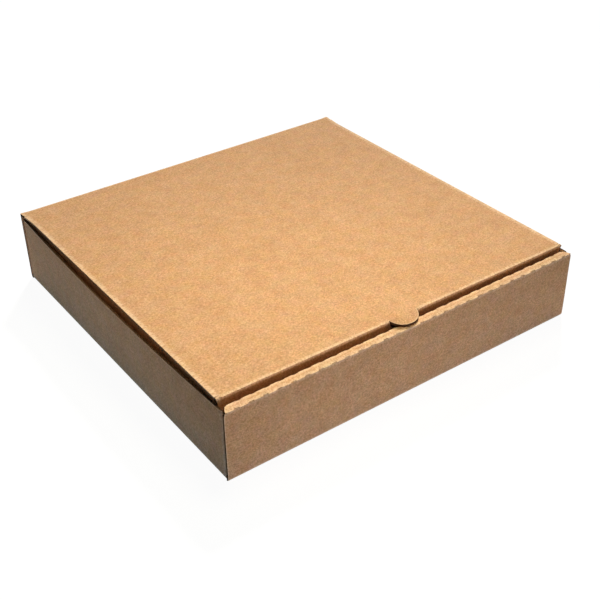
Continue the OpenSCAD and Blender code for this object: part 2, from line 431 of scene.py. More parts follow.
def fold_sides(plan, u, v, w, at):
    """Turns up the side walls, bowed between their corners, and turns in their ears."""
    x, y, z = at
    sharp = plan.board.corner_sharpness
    side, q = np.sign(u), np.abs(u) - plan.side_x
    on, up = bend(q, w, plan.reach, sharp)
    lead = plan.front_ear_y + plan.tray.bow_lead
    run = plan.rear_ear_y - plan.tray.bow_lead - lead
    along = np.clip((v - lead) / run, 0, 1)
    rise = np.clip(up / (plan.side_top - plan.floor_z), 0, 1)
    bow = plan.tray.side_bow * 4 * along * (1 - along) * rise
    wall = (v >= plan.front_ear_y - TOLERANCE) & (v <= plan.rear_ear_y + TOLERANCE)
    wall &= q > -plan.reach
    x = np.where(wall, side * (plan.side_x + on + bow), x)
    z = np.where(wall, plan.floor_z + up, z)

    # Ears, and the corners that lead to them above the foot of the wall
    above = smooth((q - plan.reach) / (plan.ear_foot - plan.floor_z - plan.reach))
    height = np.clip(q / (plan.side_top - plan.floor_z), 0, 1)
    reach = plan.reach * (1 + plan.tray.corner_gape * height)
    for corner, ahead in ((plan.front_ear_y, -1), (plan.rear_ear_y, 1)):
        past = (v - corner) * ahead
        on, inward = bend(past, w, reach, sharp)
        ear = (q > 0) & (past > -reach)
        x = np.where(ear, x + (side * (plan.side_x - inward) - x) * above, x)
        y = np.where(ear, y + (corner + ahead * on - y) * above, y)
        z = np.where(ear & (q > plan.reach), plan.floor_z + q, z)
    return x, y, z


def fold_back(plan, u, v, w, at):
    """Turns up the back wall."""
    x, y, z = at
    q = v - plan.back_y
    on, up = bend(q, w, plan.reach, plan.board.corner_sharpness)
    back = (np.abs(u) <= plan.half_w + TOLERANCE) & (q > -plan.reach)
    x = np.where(back, u, x)
    y = np.where(back, plan.back_y + on, y)
    z = np.where(back, plan.floor_z + up, z)
    return x, y, z


def fold_front(plan, u, v, w, at):
    """Turns up the front wall and rolls it over: outer layer, top and inner layer."""
    x, y, z = at
    q = plan.front_y - v
    front = (np.abs(u) <= plan.half_w + TOLERANCE) & (q > -plan.reach)
    fade = plan.outer_run * plan.board.wall_fade
    swell = waviness(u, v, plan.board.warp) * smooth(q / fade) * smooth((plan.outer_run - q) / fade)
    on, up = bend(q, w + swell, plan.reach, plan.board.corner_sharpness)
    x = np.where(front, u, x)
    y = np.where(front, plan.front_y - on, y)
    z = np.where(front, plan.floor_z + up, z)

    q = plan.roll_v - v
    on, aside = rolled(plan, u, q, w, plan.half_w, plan.tray.perf_lip)
    top = front & (q > -plan.reach)
    y = np.where(top, plan.front_y + aside, y)
    z = np.where(top, plan.roll_z + on, z)

    q = plan.inner_v - v
    on, down = rolled(plan, u, q, w, plan.inner_end, 0.0)
    inner = front & (q > -plan.reach)
    y = np.where(inner, plan.inner_y + on, y)
    z = np.where(inner, plan.roll_z - down, z)
    return x, y, z


def place_tray(plan, u, v, w):
    """Folds the tray's sheet."""
    at = (u, v, plan.floor_z - w)
    for fold in (fold_sides, fold_back, fold_front):
        at = fold(plan, u, v, w, at)
    return np.stack(at, 1)


def in_thumb(plan, u, v):
    """Whether a point of the lid's sheet lies on the thumb tab or behind it."""
    away = np.hypot(u + plan.lid.thumb_shift, v - plan.thumb_v)
    return away < plan.thumb_r + plan.lid.thumb_cut / 2


def place_lid(plan, u, v, w):
    """Folds the lid's sheet."""
    sharp = plan.board.fold_sharpness
    lean = math.tan(plan.lid.flap_lean)
    side, s = np.sign(u), np.abs(u)
    edge = np.minimum(plan.lid_x - s, np.minimum(v - plan.lid_front_y, plan.back_y - v))
    lift = waviness(u, v, plan.board.warp) * smooth(edge / plan.board.lid_fade)
    x, y, z = u, v, plan.lid_z + w + lift

    # Front flap, and the thumb tab, which runs on from the lid and droops a little
    q = plan.lid_front_y - v
    on, down = bend(q, w, plan.reach, sharp)
    front = (q > -plan.reach) & ~in_thumb(plan, u, v)
    y = np.where(front, plan.lid_front_y - on + lean * np.maximum(q - plan.reach, 0), y)
    droop = plan.lid.thumb_droop * smooth((q + plan.reach) / (plan.lid.thumb_reach + plan.reach))
    z = np.where(front, plan.lid_z - down, np.where(q > -plan.reach, z - droop, z))

    # Side flaps
    q = s - plan.lid_x
    on, down = bend(q, w, plan.reach, sharp)
    flap = (v > plan.lid_front_y + plan.reach) & (v < plan.flap_rear + TOLERANCE)
    flap &= q > -plan.reach
    swell = plan.lid.fold_bulge * smooth(1 - np.abs(q) / plan.reach)
    x = np.where(flap, side * (plan.lid_x + on + swell - lean * np.maximum(q - plan.reach, 0)), x)
    z = np.where(flap, plan.lid_z - down, z)

    # Rear corners, as wide as the tray at the hinge, and the skew of the whole lid
    flare = plan.half_w - plan.lid_x - plan.half_t
    flare = flare * np.clip(1 - (plan.seam_y - v) / plan.lid.rear_flare, 0, 1) ** 2
    inward = smooth(1 + (q + plan.reach) / plan.lid.rear_flare)
    downward = smooth(2 - q / plan.reach)
    x = x + side * flare * inward * downward
    ahead = np.clip((plan.back_y - v) / (plan.back_y - plan.lid_front_y), 0, 1)
    return np.stack([x, y - u * ahead * math.tan(plan.lid.skew), z], 1)


def place_hinge(plan, u, v, w):
    """Folds the strip that joins the lid to the back wall."""
    on, down = bend(v - plan.back_y, w, plan.reach, plan.board.fold_sharpness)
    return np.stack([u, plan.back_y + on, plan.lid_z - down], 1)


# Outlines on the flat sheet

def corner_arc(before, corner, after, radius):
    """Points that round a corner."""
    before, corner, after = (np.array(p, float) for p in (before, corner, after))
    a = (before - corner) / np.linalg.norm(before - corner)
    b = (after - corner) / np.linalg.norm(after - corner)
    half = math.acos(float(np.clip(a @ b, -1, 1))) / 2
    centre = corner + (a + b) / np.linalg.norm(a + b) * radius / math.sin(half)
    start = corner + a * radius / math.tan(half) - centre
    stop = corner + b * radius / math.tan(half) - centre
    points = []
    for part in np.linspace(0, 1, CORNER_STEPS + 1):
        ray = start * (1 - part) + stop * part
        points.append(tuple(centre + ray / np.linalg.norm(ray) * radius))
    return points


def mirrored(right_half):
    """Closes an outline given along its right-hand half, from front to back."""
    left_half = [(-u, v) for u, v in reversed(right_half) if u > 0]
    return right_half + left_half


def ear_outline(plan, corner, ahead, top):
    """Right-hand ear past a corner fold, from its foot round to its top."""
    foot = plan.side_x + plan.ear_foot - plan.floor_z
    head = plan.side_x + top - plan.floor_z
    root = corner + ahead * plan.flap_root
    end = corner + ahead * plan.tray.ear_reach
    low = (foot + plan.tray.ear_slope, end)
    high = (head - plan.tray.ear_slope, end)
    radius = plan.lid.corner_radius
    return ([(foot, corner), (foot, root)]
            + corner_arc((foot, root), low, high, radius)
            + corner_arc(low, high, (head, root), radius)
            + [(head, root), (head, corner)])


def tray_outline(plan):
    """The tray's blank: its outline and the slots in its floor."""
    tray = plan.tray
    lock = plan.half_w - tray.lock_inset
    lock_in, lock_out = lock - tray.lock_width / 2, lock + tray.lock_width / 2
    inner_edge = plan.inner_v - (plan.roll_z - plan.inner_foot)
    lock_tip = plan.inner_v - plan.roll_z
    floor_x = plan.side_x - plan.reach
    wall_top = plan.side_x + plan.side_top - plan.floor_z
    rear_ear = ear_outline(plan, plan.rear_ear_y, 1, plan.side_top)
    right = [
        (0.0, inner_edge),
        (lock_in, inner_edge),
        (lock_in + tray.lock_lead, lock_tip),
        (lock_out - tray.lock_lead, lock_tip),
        (lock_out, inner_edge),
        (plan.inner_end, inner_edge),
        (plan.inner_end, plan.inner_v),
        (plan.half_w - plan.half_t, plan.roll_v),
        (plan.half_w, plan.roll_v + plan.half_t * 2),
        (plan.half_w, plan.front_y + plan.reach),
        (floor_x, plan.front_y + plan.reach),
        (floor_x, plan.front_ear_y),
        *ear_outline(plan, plan.front_ear_y, -1, plan.front_ear_top),
        (wall_top, plan.front_ear_y),
        *reversed(rear_ear),
        (floor_x, plan.rear_ear_y),
        (floor_x, plan.back_y - plan.reach),
        (plan.half_w, plan.back_y - plan.reach),
        (plan.half_w, plan.back_y + plan.seam_z - plan.floor_z),
        (0.0, plan.back_y + plan.seam_z - plan.floor_z),
    ]
    slot_u = tray.lock_width / 2 + tray.lock_gap
    slot_v = plan.half_t + tray.lock_gap
    slots = [[(side * lock + a * slot_u, plan.inner_y + b * slot_v)
              for a, b in ((-1, -1), (1, -1), (1, 1), (-1, 1))] for side in (-1, 1)]
    return mirrored(right), slots


def lid_outline(plan):
    """The lid's blank: its outline and the cut round the thumb tab."""
    lid = plan.lid
    radius = lid.corner_radius
    full = plan.lid_x + plan.half_t
    front_end = plan.lid_front_y - (lid.front_flap - plan.half_t)
    front_root = plan.lid_front_y - plan.flap_root
    flap_front = plan.lid_front_y + plan.reach + lid.flap_relief
    fold_x = plan.lid_x - plan.reach
    root = plan.lid_x + plan.flap_root
    edge = plan.lid_x + lid.side_flap - plan.half_t
    low = (full - lid.flap_slope, front_end)
    ahead = (edge, flap_front + lid.flap_slope)
    behind = (edge, plan.flap_rear - lid.flap_slope)
    right = [
        (0.0, front_end),
        *corner_arc((0.0, front_end), low, (full, front_root), radius),
        (full, front_root),
        (full + lid.fold_bulge, plan.lid_front_y),
        (full + lid.fold_bulge, plan.lid_front_y + plan.reach),
        (fold_x, plan.lid_front_y + plan.reach),
        (fold_x, flap_front),
        (root, flap_front),
        *corner_arc((root, flap_front), ahead, behind, radius),
        *corner_arc(ahead, behind, (root, plan.flap_rear), radius),
        (root, plan.flap_rear),
        (fold_x, plan.flap_rear),
        (fold_x, plan.flap_rear + lid.flap_relief),
        (full, plan.flap_rear + lid.flap_relief),
        (full, plan.seam_y),
        (0.0, plan.seam_y),
    ]
    slit = []
    for r, order in ((plan.thumb_r + lid.thumb_cut, 1), (plan.thumb_r, -1)):
        reach = math.acos((plan.thumb_v - plan.lid_front_y - lid.thumb_start) / r)
        arc = [(r * math.sin(a) - lid.thumb_shift, plan.thumb_v - r * math.cos(a))
               for a in np.linspace(-reach, reach, THUMB_STEPS + 1)]
        slit += arc[::order]
    return mirrored(right), [slit]


def hinge_outline(plan):
    """The strip across the hinge fold, from the lid's seam to the back wall's."""
    tail = plan.back_y + plan.lid.hinge_strip
    right = [
        (0.0, plan.seam_y),
        (plan.half_w, plan.seam_y),
        (plan.half_w, tail),
        (0.0, tail),
    ]
    return mirrored(right), []


# Sheets of board

def inside(points, loop):
    """Which points lie inside a closed loop."""
    loop = np.asarray(loop)
    ahead = np.roll(loop, -1, 0)
    x, y = points[:, :1], points[:, 1:]
    crosses = (loop[:, 1] > y) != (ahead[:, 1] > y)
    rise = np.where(ahead[:, 1] == loop[:, 1], 1.0, ahead[:, 1] - loop[:, 1])
    at = loop[:, 0] + (y - loop[:, 1]) / rise * (ahead[:, 0] - loop[:, 0])
    return (crosses & (x < at)).sum(1) % 2 == 1


def on_sheet(points, outline, holes):
    """Which points lie inside the outline and outside its holes."""
    kept = inside(points, outline)
    for hole in holes:
        kept &= ~inside(points, hole)
    return kept


def fold_rows(number, u_lines, v_lines, reach):
    """Pairs of neighbouring grid points along the close grid lines of the folds.

    number holds each grid point's place in the list of kept points, or -1.
    """
    pairs = []
    for lines, numbers in ((v_lines, number), (u_lines, number.T)):
        gaps = np.diff(lines, prepend=-np.inf, append=np.inf)
        close = np.minimum(gaps[:-1], gaps[1:]) < reach
        pairs.append(np.stack([numbers[close, :-1], numbers[close, 1:]], -1).reshape(-1, 2))
    pairs = np.concatenate(pairs)
    return pairs[(pairs >= 0).all(1)]


def clearance(points, loops):
    """Distance from each point to the nearest edge of the loops."""
    best = np.full(len(points), np.inf)
    for loop in loops:
        loop = np.asarray(loop)
        for a, b in zip(loop, np.roll(loop, -1, 0)):
            d = b - a
            t = np.clip((points - a) @ d / max(d @ d, TINY), 0, 1)
            gap = np.linalg.norm(points - a - t[:, None] * d, axis=1)
            best = np.minimum(best, gap)
    return best


def divided(loop, u_lines, v_lines, shortest):
    """A loop with a point wherever it crosses a grid line."""
    out = []
    for a, b in zip(np.asarray(loop), np.roll(np.asarray(loop), -1, 0)):
        d = b - a
        stops = [0.0]
        for axis, lines in ((0, u_lines), (1, v_lines)):
            if abs(d[axis]) > TINY:
                stops += [t for t in (lines - a[axis]) / d[axis] if 0 < t < 1]
        gap = shortest / max(np.linalg.norm(d), TINY)
        last = -1.0
        for t in sorted(stops):
            if t - last > gap and 1 - t > gap / 2:
                out.append(tuple(a + d * t))
                last = t
    return out


def renumbered(used, count):
    """New numbers for the points in use, out of count, and -1 for the others."""
    number = np.full(count, -1)
    number[used] = np.arange(len(used))
    return number


class Sheet:
    """A blank, meshed flat: points, triangles, and the edges of its outline."""

    def __init__(self, plan, outline, holes, lines, fine=None, joined=None):
        self.outline, self.holes = outline, holes
        self.ring = plan.board.edge_ring
        self.loops = [divided(loop, *lines, plan.board.edge_step) for loop in (outline, *holes)]
        grid, rows = self.grid_points(*lines, plan.reach)
        if fine is not None:
            grid = np.concatenate([grid, fine[self.holds(fine, GRID_CLEAR)]])
        self.triangulate(self.ring_points(), grid, rows)
        self.find_rim(joined)

    def holds(self, points, rings):
        """Which points lie on the sheet, and some edge rings away from its cut edges."""
        kept = on_sheet(points, self.outline, self.holes)
        return kept & (clearance(points, self.loops) > self.ring * rings)

    def grid_points(self, u_lines, v_lines, reach):
        """Points where the grid lines cross, and the pairs of them that follow a fold."""
        lattice = np.stack(np.meshgrid(u_lines, v_lines), -1)
        grid = lattice.reshape(-1, 2)
        kept = self.holds(grid, GRID_CLEAR)
        number = renumbered(np.flatnonzero(kept), len(grid)).reshape(lattice.shape[:2])
        grid = grid[kept]
        rows = fold_rows(number, u_lines, v_lines, reach)
        for part in ROW_SHARES:
            between = grid[rows[:, 0]] * (1 - part) + grid[rows[:, 1]] * part
            rows = rows[clearance(between, self.loops) > self.ring]
        return grid, rows

    def ring_points(self):
        """Points that follow the cut edges, one edge ring away."""
        points = []
        for loop in self.loops:
            loop = np.array(loop)
            ahead, behind = np.roll(loop, -1, 0) - loop, loop - np.roll(loop, 1, 0)
            along = ahead / np.linalg.norm(ahead, axis=1)[:, None]
            along += behind / np.linalg.norm(behind, axis=1)[:, None]
            along /= np.maximum(np.linalg.norm(along, axis=1), TINY)[:, None]
            normal = np.stack([-along[:, 1], along[:, 0]], 1)
            points += [loop + normal * self.ring, loop - normal * self.ring]
        points = np.concatenate(points)
        return points[self.holds(points, RING_CLEAR)]

    def triangulate(self, ring, grid, rows):
        """Triangles over the sheet that keep to its outline and to the rows along its folds."""
        points, edges = [], []
        for loop in self.loops:
            start, count = len(points), len(loop)
            edges += [(start + i, start + (i + 1) % count) for i in range(count)]
            points += loop
        edges += [tuple(row) for row in (rows + len(points) + len(ring)).tolist()]
        points += [tuple(p) for p in np.concatenate([ring, grid])]
        made = delaunay_2d_cdt([Vector(p) * MESH_SCALE for p in points], edges, [], 0, MESH_JOIN)
        flat = np.array([tuple(p) for p in made[0]]) / MESH_SCALE
        tris = np.array(made[2])
        tris = tris[on_sheet(flat[tris].mean(1), self.outline, self.holes)]
        a, b, c = flat[tris[:, 0]], flat[tris[:, 1]], flat[tris[:, 2]]
        area = (b - a)[:, 0] * (c - a)[:, 1] - (b - a)[:, 1] * (c - a)[:, 0]
        solid = np.abs(area) > TINY_AREA
        tris, area = tris[solid], area[solid]
        tris[area < 0] = tris[area < 0][:, ::-1]
        used = np.unique(tris)
        self.flat, self.tris = flat[used], renumbered(used, len(flat))[tris]

    def find_rim(self, joined):
        """Edges with a triangle on one side only, and the inward normal at their ends."""
        sides = np.concatenate([self.tris[:, [0, 1]], self.tris[:, [1, 2]], self.tris[:, [2, 0]]])
        known = {tuple(e) for e in sides}
        self.rim = np.array([e for e in sides if (e[1], e[0]) not in known])
        a, b = self.flat[self.rim[:, 0]], self.flat[self.rim[:, 1]]
        self.cut = np.ones(len(self.rim), bool)
        if joined is not None:
            self.cut = ~joined((a + b) / 2)
        along = (b - a) / np.linalg.norm(b - a, axis=1)[:, None]
        normal = np.stack([-along[:, 1], along[:, 0]], 1)
        inward, count = np.zeros_like(self.flat), np.zeros(len(self.flat))
        for end in (0, 1):
            np.add.at(inward, self.rim[self.cut, end], normal[self.cut])
            np.add.at(count, self.rim[self.cut, end], 1)
        self.on_cut = count > 0
        square = np.maximum((inward ** 2).sum(1), count)
        self.inward = inward * (count / np.maximum(square, 1))[:, None]


def board_shell(plan, sheet, place):
    """A board as two liners that are open between at the cut edges.

    Gives its points, its faces, the points' places on the sheet, which of them lie on a
    die cut, and how many of the faces belong to the liners.
    """
    board = plan.board
    count = len(sheet.flat)
    half = np.where(sheet.on_cut, plan.half_t - board.edge_crush, plan.half_t)
    level = np.full(count, plan.half_t - board.liner)
    deep = sheet.flat + sheet.inward * board.edge_depth
    layers = [(sheet.flat, half), (sheet.flat, -half),
              (sheet.flat, level), (deep, level), (deep, -level), (sheet.flat, -level)]
    places = np.concatenate([np.column_stack([at, w]) for at, w in layers])
    points = place(plan, places[:, 0], places[:, 1], places[:, 2])
    outer, inner, lip_out, deep_out, deep_in, lip_in = (i * count for i in range(len(layers)))
    faces = [tuple(outer + t) for t in sheet.tris]
    faces += [tuple(inner + t[::-1]) for t in sheet.tris]
    liners = len(faces)
    profile = (inner, lip_in, deep_in, deep_out, lip_out, outer)
    after, before = {}, {}
    for (a, b), cut in zip(sheet.rim, sheet.cut):
        after[a], before[b] = cut, cut
        steps = profile if cut else (inner, outer)
        faces += [(low + a, low + b, high + b, high + a) for low, high in zip(steps, steps[1:])]
    for corner in after:
        if after[corner] != before[corner]:
            ends = [step + corner for step in profile]
            faces.append(tuple(ends if after[corner] else ends[::-1]))
    die_cut = np.tile(sheet.on_cut, len(layers))
    return points, faces, places, die_cut, liners


def signed_volume(points, faces):
    """Volume inside the faces, negative where they point inwards."""
    total = 0.0
    for face in faces:
        a = points[face[0]]
        for i in range(1, len(face) - 1):
            total += a @ np.cross(points[face[i]], points[face[i + 1]])
    return total / 6


def add_object(name, data):
    """A new object in the scene."""
    made = bpy.data.objects.new(name, data)
    bpy.context.scene.collection.objects.link(made)
    return made


def set_sheet_places(mesh, places):
    """Keeps each point's place on the flat sheet, which the materials read."""
    mesh.attributes.new("sheet", "FLOAT_VECTOR", "POINT").data.foreach_set(
        "vector", places.astype(np.float32).ravel())


def board_piece(name, plan, sheet, place, creases_and_highlights, materials):
    """A piece of folded board as a mesh object."""
    points, faces, places, die_cut, liners = board_shell(plan, sheet, place)
    if signed_volume(points, faces) < 0:
        faces = [face[::-1] for face in faces]
    used = np.unique(np.concatenate([np.array(face) for face in faces]))
    number = renumbered(used, len(points))
    mesh = bpy.data.meshes.new(name)
    mesh.from_pydata(points[used].tolist(), [], [[int(number[i]) for i in face] for face in faces])
    for material in materials:
        mesh.materials.append(material)
    slots = np.zeros(len(faces), np.int32)
    slots[liners:] = 1
    mesh.polygons.foreach_set("material_index", slots)
    mesh.polygons.foreach_set("use_smooth", np.ones(len(faces), bool))
    set_sheet_places(mesh, places[used])
    # Pale creases and die-cut edges: partly wear, partly a painted highlight along folds and edges.
    worn_and_highlit = np.maximum(creases_and_highlights(plan, places[:, 0], places[:, 1]), die_cut * plan.board.edge_wear_and_highlight)
    mesh.attributes.new("crease_and_highlight", "FLOAT", "POINT").data.foreach_set(
        "value", worn_and_highlit[used].astype(np.float32))
    mesh.update()
    mesh.validate()
    mesh.set_sharp_from_angle(angle=plan.board.smooth_angle)
    return add_object(name, mesh)


# Grid lines, and creases with their painted highlight

def near_lines(values, lines, width):
    """1 on any of the lines, falling to 0 a width away."""
    best = np.zeros(len(values))
    for line in lines:
        best = np.maximum(best, 1 - smooth(np.abs(values - line) / width))
    return best


def spread(low, high, step, folds, reach):
    """Lines from low to high, closer together across the folds."""
    lines = list(np.linspace(low, high, max(2, round((high - low) / step) + 1)))
    lines = [x for x in lines if all(abs(x - fold) > reach * FOLD_CLEAR for fold in folds)]
    for fold in folds:
        lines += [fold + reach * part for part in FOLD_LINES]
    return np.array(sorted(lines))


def grid_lines(plan, outline, u_folds, v_folds):
    """Grid lines over a blank, along u and along v."""
    step = plan.board.panel_step
    low, high = np.min(outline, 0), np.max(outline, 0)
    return [spread(low[axis], high[axis], step, folds, plan.reach)
            for axis, folds in enumerate((u_folds, v_folds))]


def perforation_points(plan):
    """Close rows of points along the two perforated folds."""
    across = np.arange(-plan.half_w, plan.half_w, plan.tray.perf_pitch / PERF_POINTS)
    folds, steps = (plan.inner_v, plan.roll_v), range(-PERF_ROWS, PERF_ROWS + 1)
    rows = [fold + plan.reach * k / PERF_ROWS for fold in folds for k in steps]
    rows += [fold + plan.reach * k for fold in folds for k in (-PERF_EDGE, PERF_EDGE)]
    return np.stack(np.meshgrid(across, rows), -1).reshape(-1, 2)


def tray_creases_and_highlights(plan, u, v):
    """How strongly the tray's folds are creased and carry a painted highlight."""
    width = plan.board.crease_and_highlight_width
    sides = near_lines(np.abs(u), [plan.side_x], width) * (np.abs(v) < plan.half_d)
    return np.maximum(sides, near_lines(v, plan.tray_folds, width))


def lid_creases_and_highlights(plan, u, v):
    """How strongly the lid's folds are creased and carry a painted highlight."""
    width = plan.board.crease_and_highlight_width
    front = near_lines(v, [plan.lid_front_y], width) * ~in_thumb(plan, u, v)
    front *= smooth(1 + (v - plan.lid_front_y) / plan.reach)
    sides = near_lines(np.abs(u), [plan.lid_x], width)
    sides *= smooth(1 - (np.abs(u) - plan.lid_x) / plan.reach)
    return np.maximum(front, sides)


def hinge_creases_and_highlights(plan, u, v):
    """How strongly the hinge fold is creased and carries a painted highlight."""
    return near_lines(v, [plan.back_y], plan.board.crease_and_highlight_width)


# Nodes

def link(tree, source, target):
    """Joins an output to an input."""
    tree.links.new(source, target)


def add_node(tree, kind, settings=None, **values):
    """A node with its settings and the values or links of its inputs."""
    made = tree.nodes.new(kind)
    for name, value in (settings or {}).items():
        setattr(made, name, value)
    for name, value in values.items():
        key = int(name.removeprefix("in_")) if name.startswith("in_") else name.replace("_", " ")
        if isinstance(value, bpy.types.NodeSocket):
            link(tree, value, made.inputs[key])
        else:
            made.inputs[key].default_value = value
    return made


def maths(tree, operation, first, second=0.0):
    """The result of a Math node on one or two values."""
    return add_node(
        tree, "ShaderNodeMath", {"operation": operation}, in_0=first, in_1=second).outputs[0]


def scaled(tree, value, factor, offset):
    """A value times a factor, plus an offset."""
    return add_node(
        tree, "ShaderNodeMath", {"operation": "MULTIPLY_ADD"}, in_0=value, in_1=factor,
        in_2=offset).outputs[0]


def flute_wave(tree, place, pitch):
    """Sine of the flutes. It depends only on v, so a flute runs on wherever a cut crosses it."""
    along = add_node(tree, "ShaderNodeSeparateXYZ", in_0=place).outputs["Y"]
    turns = maths(tree, "DIVIDE", along, pitch)
    return maths(tree, "SINE", maths(tree, "MULTIPLY", turns, math.tau))


# Flutes

def flute_tree():
    """Geometry Nodes: the fluted paper that shows along a board's cut edges."""
    tree = bpy.data.node_groups.new("Flute paper", "GeometryNodeTree")
    face = tree.interface
    face.new_socket(name="Cut edges", in_out="INPUT", socket_type="NodeSocketGeometry")
    for name in ("Pitch", "Height", "Paper", "Depth", "Step"):
        face.new_socket(name=name, in_out="INPUT", socket_type="NodeSocketFloat").subtype = "DISTANCE"
    face.new_socket(name="Material", in_out="INPUT", socket_type="NodeSocketMaterial")
    face.new_socket(name="Flutes", in_out="OUTPUT", socket_type="NodeSocketGeometry")
    given = tree.nodes.new("NodeGroupInput").outputs
    made = tree.nodes.new("NodeGroupOutput").inputs
    curve = add_node(tree, "GeometryNodeMeshToCurve", Mesh=given["Cut edges"]).outputs[0]
    points = add_node(
        tree, "GeometryNodeResampleCurve", {"mode": "LENGTH"}, Curve=curve,
        Length=given["Step"]).outputs[0]
    place = add_node(tree, "GeometryNodeInputPosition").outputs[0]
    height = maths(tree, "MULTIPLY", flute_wave(tree, place, given["Pitch"]), given["Height"])
    offset = add_node(tree, "ShaderNodeCombineXYZ", Z=height).outputs[0]
    moved = add_node(tree, "GeometryNodeSetPosition", Geometry=points, Offset=offset).outputs[0]
    upright = add_node(tree, "GeometryNodeSetCurveNormal", {"mode": "Z_UP"}, Curve=moved).outputs[0]
    strip = add_node(
        tree, "GeometryNodeCurvePrimitiveQuadrilateral", Width=given["Depth"],
        Height=given["Paper"]).outputs[0]
    ribbon = add_node(
        tree, "GeometryNodeCurveToMesh", Curve=upright, Profile_Curve=strip, Fill_Caps=True).outputs[0]
    real = add_node(tree, "GeometryNodeRealizeInstances", Geometry=ribbon).outputs[0]
    finished = add_node(
        tree, "GeometryNodeSetMaterial", Geometry=real, Material=given["Material"]).outputs[0]
    link(tree, finished, made["Flutes"])
    return tree


def flute_piece(name, plan, sheet, place, tree, material):
    """Fluted paper along the cut edges of a sheet, folded with it."""
    board = plan.board
    edges = sheet.rim[sheet.cut]
    ends = np.unique(edges)
    middle = sheet.flat[ends] + sheet.inward[ends] * board.flute_setback
    mesh = bpy.data.meshes.new(name + "_edges")
    mesh.from_pydata(
        [(u, v, 0.0) for u, v in middle], renumbered(ends, len(sheet.flat))[edges].tolist(), [])
    path = add_object(name + "_edges", mesh)
    grow = path.modifiers.new("Flutes", "NODES")
    grow.node_group = tree
    values = {
        "Pitch": board.flute_pitch,
        "Height": plan.half_t - board.liner - board.flute_paper / 2,
        "Paper": board.flute_paper,
        "Depth": board.flute_depth,
        "Step": board.flute_step,
        "Material": material,
    }
    for item in tree.interface.items_tree:
        if item.in_out == "INPUT" and item.name in values:
            grow[item.identifier] = values[item.name]
    result = path.evaluated_get(bpy.context.evaluated_depsgraph_get())
    flutes = bpy.data.meshes.new_from_object(result)
    bpy.data.objects.remove(path)
    bpy.data.meshes.remove(mesh)
    at = np.empty(len(flutes.vertices) * 3)
    flutes.vertices.foreach_get("co", at)
    at = at.reshape(-1, 3)
    folded = place(plan, at[:, 0], at[:, 1], at[:, 2])
    flutes.vertices.foreach_set("co", folded.astype(np.float32).ravel())
    set_sheet_places(flutes, at)
    flutes.update()
    faces = [tuple(p.vertices) for p in flutes.polygons]
    if signed_volume(folded, faces) < 0:
        flutes.flip_normals()
    flutes.name = name
    return add_object(name, flutes)


# Materials

def shader_group(name, inputs, outputs):
    """An empty shader node group with its sockets, and its ends."""
    tree = bpy.data.node_groups.new(name, "ShaderNodeTree")
    for socket, kind in inputs:
        tree.interface.new_socket(name=socket, in_out="INPUT", socket_type=kind)
    for socket, kind in outputs:
        tree.interface.new_socket(name=socket, in_out="OUTPUT", socket_type=kind)
    return tree, tree.nodes.new("NodeGroupInput").outputs, tree.nodes.new("NodeGroupOutput").inputs


def noise(tree, place, scale, detail, roughness):
    """Outputs of a noise texture."""
    return add_node(
        tree, "ShaderNodeTexNoise", Vector=place, Scale=scale, Detail=detail,
        Roughness=roughness).outputs


def fibre_group():
    """Paper fibres: their tone, dark flecks, clumps and height."""
    tree, given, made = shader_group(
        "Paper fibres",
        [("Sheet", "NodeSocketVector"), ("Fibre Scale", "NodeSocketFloat")],
        [("Tone", "NodeSocketFloat"), ("Fleck", "NodeSocketFloat"), ("Clumps", "NodeSocketColor"),
         ("Height", "NodeSocketFloat")])
    sheet, scale = given["Sheet"], given["Fibre Scale"]
    strands = 0.0
    for turn, shift in FIBRE_LAYERS:
        turned = add_node(
            tree, "ShaderNodeVectorRotate", {"rotation_type": "Z_AXIS"}, Vector=sheet, Angle=turn)
        drawn = add_node(
            tree, "ShaderNodeVectorMath", {"operation": "MULTIPLY_ADD"},
            in_0=turned.outputs[0], in_1=FIBRE_STRETCH, in_2=(shift, shift, shift))
        streaks = noise(tree, drawn.outputs[0], scale, detail=2.5, roughness=0.6)[0]
        strands = maths(tree, "ADD", strands, streaks)
    strands = maths(tree, "DIVIDE", strands, len(FIBRE_LAYERS))
    link(tree, strands, made["Height"])

    def pattern(coarseness, detail, roughness):
        """Noise that is coarser than the fibres."""
        size = maths(tree, "MULTIPLY", scale, coarseness)
        return noise(tree, sheet, size, detail, roughness)

    # Tone: strands at a strong contrast, with clouds and a broad drift over them
    contrast, level, clouds, drift = 5.6, -2.8, 0.55, 0.35
    tone = scaled(tree, strands, contrast, level)
    tone = scaled(tree, pattern(coarseness=0.45, detail=4.0, roughness=0.65)[0], clouds, tone)
    tone = scaled(tree, pattern(coarseness=0.025, detail=2.0, roughness=0.5)[0], drift, tone)
    link(tree, add_node(tree, "ShaderNodeClamp", Value=tone).outputs[0], made["Tone"])

    # Flecks: the cores of a few of the cells
    cell_scale, fleck_share, core, rim = 0.55, 0.16, 0.12, 0.34
    cells = add_node(
        tree, "ShaderNodeTexVoronoi", Vector=sheet, Scale=maths(tree, "MULTIPLY", scale, cell_scale))
    lot = add_node(tree, "ShaderNodeSeparateColor", Color=cells.outputs["Color"]).outputs[0]
    near = add_node(
        tree, "ShaderNodeMapRange", Value=cells.outputs["Distance"], From_Min=core, From_Max=rim,
        To_Min=1.0, To_Max=0.0).outputs[0]
    chosen = maths(tree, "LESS_THAN", lot, fleck_share)
    link(tree, maths(tree, "MULTIPLY", chosen, near), made["Fleck"])
    clumps = pattern(coarseness=0.09, detail=3.0, roughness=0.65)
    link(tree, clumps["Color"], made["Clumps"])
    return tree


